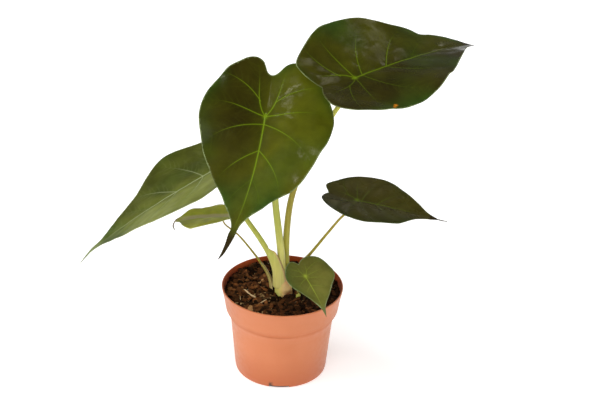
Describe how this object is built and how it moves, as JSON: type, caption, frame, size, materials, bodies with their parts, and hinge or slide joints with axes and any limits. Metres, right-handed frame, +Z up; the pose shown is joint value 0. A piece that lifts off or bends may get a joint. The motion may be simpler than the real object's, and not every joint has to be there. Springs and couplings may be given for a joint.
{
  "type": "potted alocasia",
  "caption": "Living foliage plant with heart-shaped leaves on long stalks, rooted in soil in a small round plastic nursery pot that stands on a flat surface.",
  "frame": {"origin": "middle of the pot's underside, on the surface that the pot stands on", "axes": "+Z up; -Y towards the side that the front leaf faces; +X towards the right-hand leaves"},
  "size_m": [0.3748, 0.1854, 0.3493],
  "materials": {
    "pot_plastic": "satin terracotta-coloured moulded plastic",
    "potting_soil": "loose dark peat and bark",
    "crown_tissue": "smooth, pale, slightly moist",
    "stalk_tissue": "smooth, waxy, yellow-green",
    "dark_blade": "waxy dark olive green with yellow-green veins",
    "pale_blade": "waxy grey-green with pale veins"
  },
  "bodies": {
    "root": {"pot": "pot_plastic", "soil": "potting_soil", "crown": "crown_tissue", "stalk_front": "stalk_tissue", "stalk_top": "stalk_tissue", "stalk_left": "stalk_tissue", "stalk_left_small": "stalk_tissue", "stalk_right": "stalk_tissue", "stalk_low": "stalk_tissue", "blade_front": "dark_blade", "blade_top": "dark_blade", "blade_right": "dark_blade", "blade_left": "pale_blade", "blade_left_small": "pale_blade", "blade_low": "pale_blade"}
  },
  "joints": []
}
